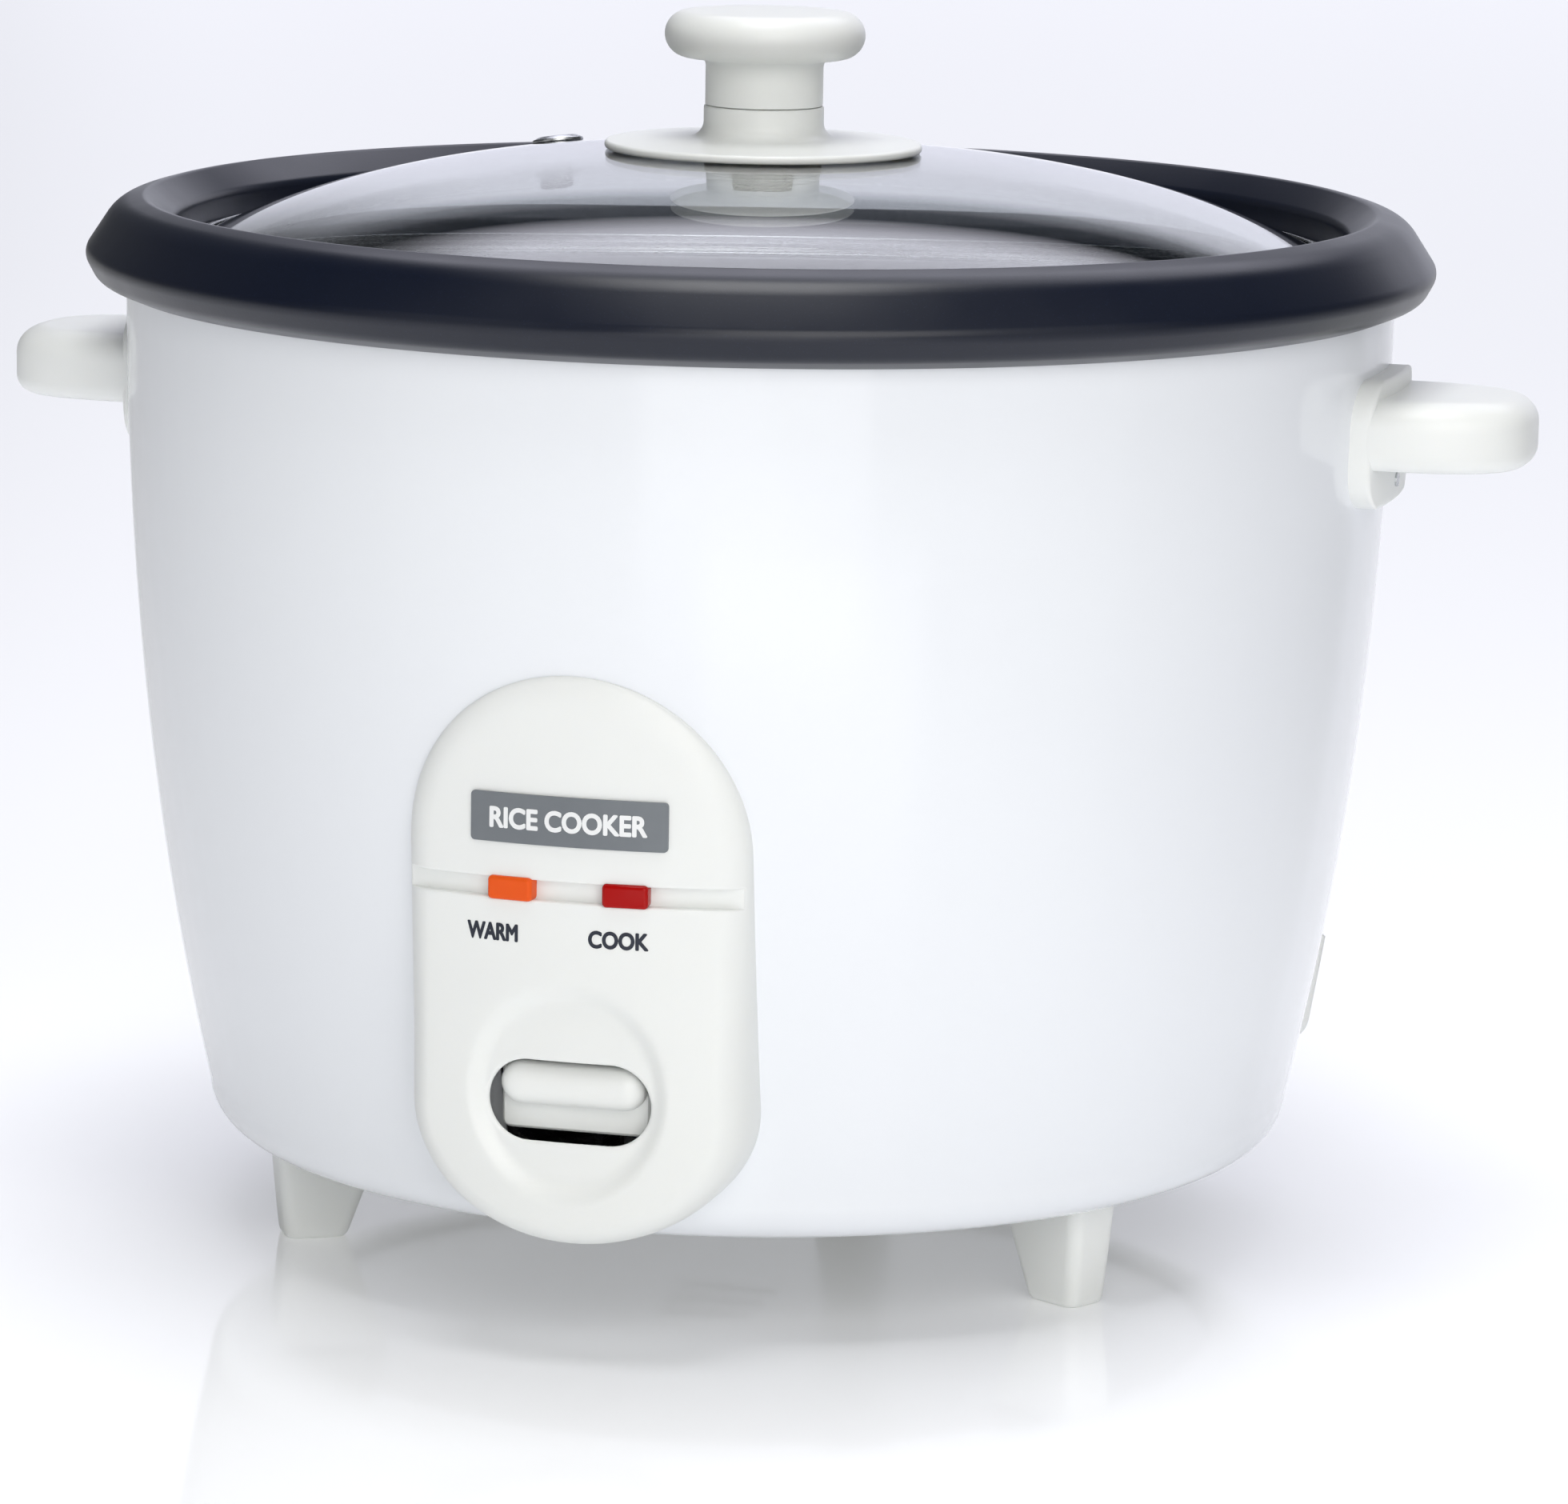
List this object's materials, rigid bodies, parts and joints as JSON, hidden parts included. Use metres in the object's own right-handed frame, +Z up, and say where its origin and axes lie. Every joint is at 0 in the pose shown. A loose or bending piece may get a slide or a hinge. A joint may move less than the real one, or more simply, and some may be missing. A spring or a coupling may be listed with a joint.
{
  "type": "rice cooker",
  "caption": "Drum rice cooker with lift-out dark-rimmed pot, domed clear glass lid, side handles, fin feet and a front panel with a tip-down cook lever.",
  "frame": {"origin": "centre of the object's box in plan, at the underside of the feet", "axes": "+Z up along the drum's axis, -Y towards the control panel, handles along X"},
  "size_m": [0.3224, 0.2758, 0.253],
  "materials": {
    "enamel": "glossy white stoved enamel on steel",
    "white_plastic": "moulded off-white polypropylene, soft gloss",
    "dark_coating": "satin dark non-stick coating",
    "clear_glass": "clear tempered glass",
    "steel": "plain steel",
    "spring_steel": "drawn spring wire",
    "aluminium": "drawn and cast aluminium",
    "brass": "plain brass",
    "ferrite": "sintered ferrite",
    "black_plastic": "moulded phenolic",
    "silicone": "clear silicone",
    "orange_lens": "translucent orange lens",
    "red_lens": "translucent red lens",
    "grey_badge": "plain grey label plate",
    "lamp_glass": "neon lamp glass",
    "ceramic": "unglazed ceramic",
    "wire_cover": "glass-fibre sleeved wire"
  },
  "bodies": {
    "root": {"outer_shell": "enamel", "inner_case": "aluminium", "base_plate": "steel", "foot_front_left": "white_plastic", "foot_front_right": "white_plastic", "foot_rear": "white_plastic", "screw_foot_front_left": "steel", "screw_foot_front_right": "steel", "screw_foot_rear": "steel", "heating_plate": "aluminium", "element_terminal_left": "brass", "element_terminal_right": "brass", "plate_spacer_1": "ceramic", "plate_spacer_2": "ceramic", "plate_spacer_3": "ceramic", "sensor_tube": "steel", "cap_spring": "spring_steel", "lever_bracket": "steel", "lever_pin": "steel", "switch_case": "black_plastic", "control_panel": "white_plastic", "warm_lens": "orange_lens", "cook_lens": "red_lens", "warm_lamp": "lamp_glass", "cook_lamp": "lamp_glass", "badge_plate": "grey_badge", "panel_screw_left": "steel", "panel_screw_right": "steel", "left_handle": "white_plastic", "right_handle": "white_plastic", "left_handle_screw_1": "steel", "left_handle_screw_2": "steel", "right_handle_screw_1": "steel", "right_handle_screw_2": "steel", "power_inlet": "white_plastic", "inlet_pin_live": "brass", "inlet_pin_earth": "brass", "inlet_pin_neutral": "brass", "thermal_fuse": "steel", "warm_resistor": "ceramic", "wire_live": "wire_cover", "wire_fuse_to_element": "wire_cover", "wire_neutral": "wire_cover", "wire_switch": "wire_cover", "magnet_spring": "spring_steel"},
    "pot": {"inner_pot": "dark_coating"},
    "lid": {"glass_lid": "clear_glass", "lid_rim_band": "steel", "vent_grommet": "steel", "knob_base": "white_plastic", "knob_cap": "white_plastic", "knob_washer": "silicone", "knob_screw": "steel"},
    "sensor": {"sensor_cap": "aluminium", "ferrite": "ferrite"},
    "magnet_group": {"magnet": "ferrite", "magnet_rod": "steel"},
    "lever": {"lever_arm": "steel", "lever_paddle": "white_plastic"},
    "plunger": {"switch_plunger": "white_plastic"}
  },
  "joints": [
    {"name": "pot_lift", "type": "slide", "parent": "root", "child": "pot", "axis": [0, 0, 1], "range_m": [0, 0.16]},
    {"name": "lid_lift", "type": "slide", "parent": "pot", "child": "lid", "axis": [0, 0, 1], "range_m": [0, 0.12]},
    {"name": "sensor_rise", "type": "slide", "parent": "root", "child": "sensor", "axis": [0, 0, 1], "range_m": [0, 0.0031], "deforming": ["cap_spring"]},
    {"name": "lever_press", "type": "hinge", "parent": "root", "child": "lever", "pos_m": [0, -0.062, 0.038], "axis": [1, 0, 0], "range_deg": [0, 4.8], "stiffness_Nm_per_rad": 0.8, "springref_deg": -5.73},
    {"name": "magnet_lift", "type": "slide", "parent": "root", "child": "magnet_group", "axis": [0, 0, 1], "range_m": [0, 0.00529], "deforming": ["magnet_spring"]},
    {"name": "switch_press", "type": "slide", "parent": "root", "child": "plunger", "axis": [0, 0, -1], "range_m": [0, 0.00194]}
  ],
  "couplings": [
    {"joint": "sensor_rise", "follows": "pot_lift", "ratio": 0.01875},
    {"joint": "magnet_lift", "follows": "lever_press", "m_per_rad": 0.062},
    {"joint": "switch_press", "follows": "lever_press", "m_per_rad": 0.022}
  ]
}
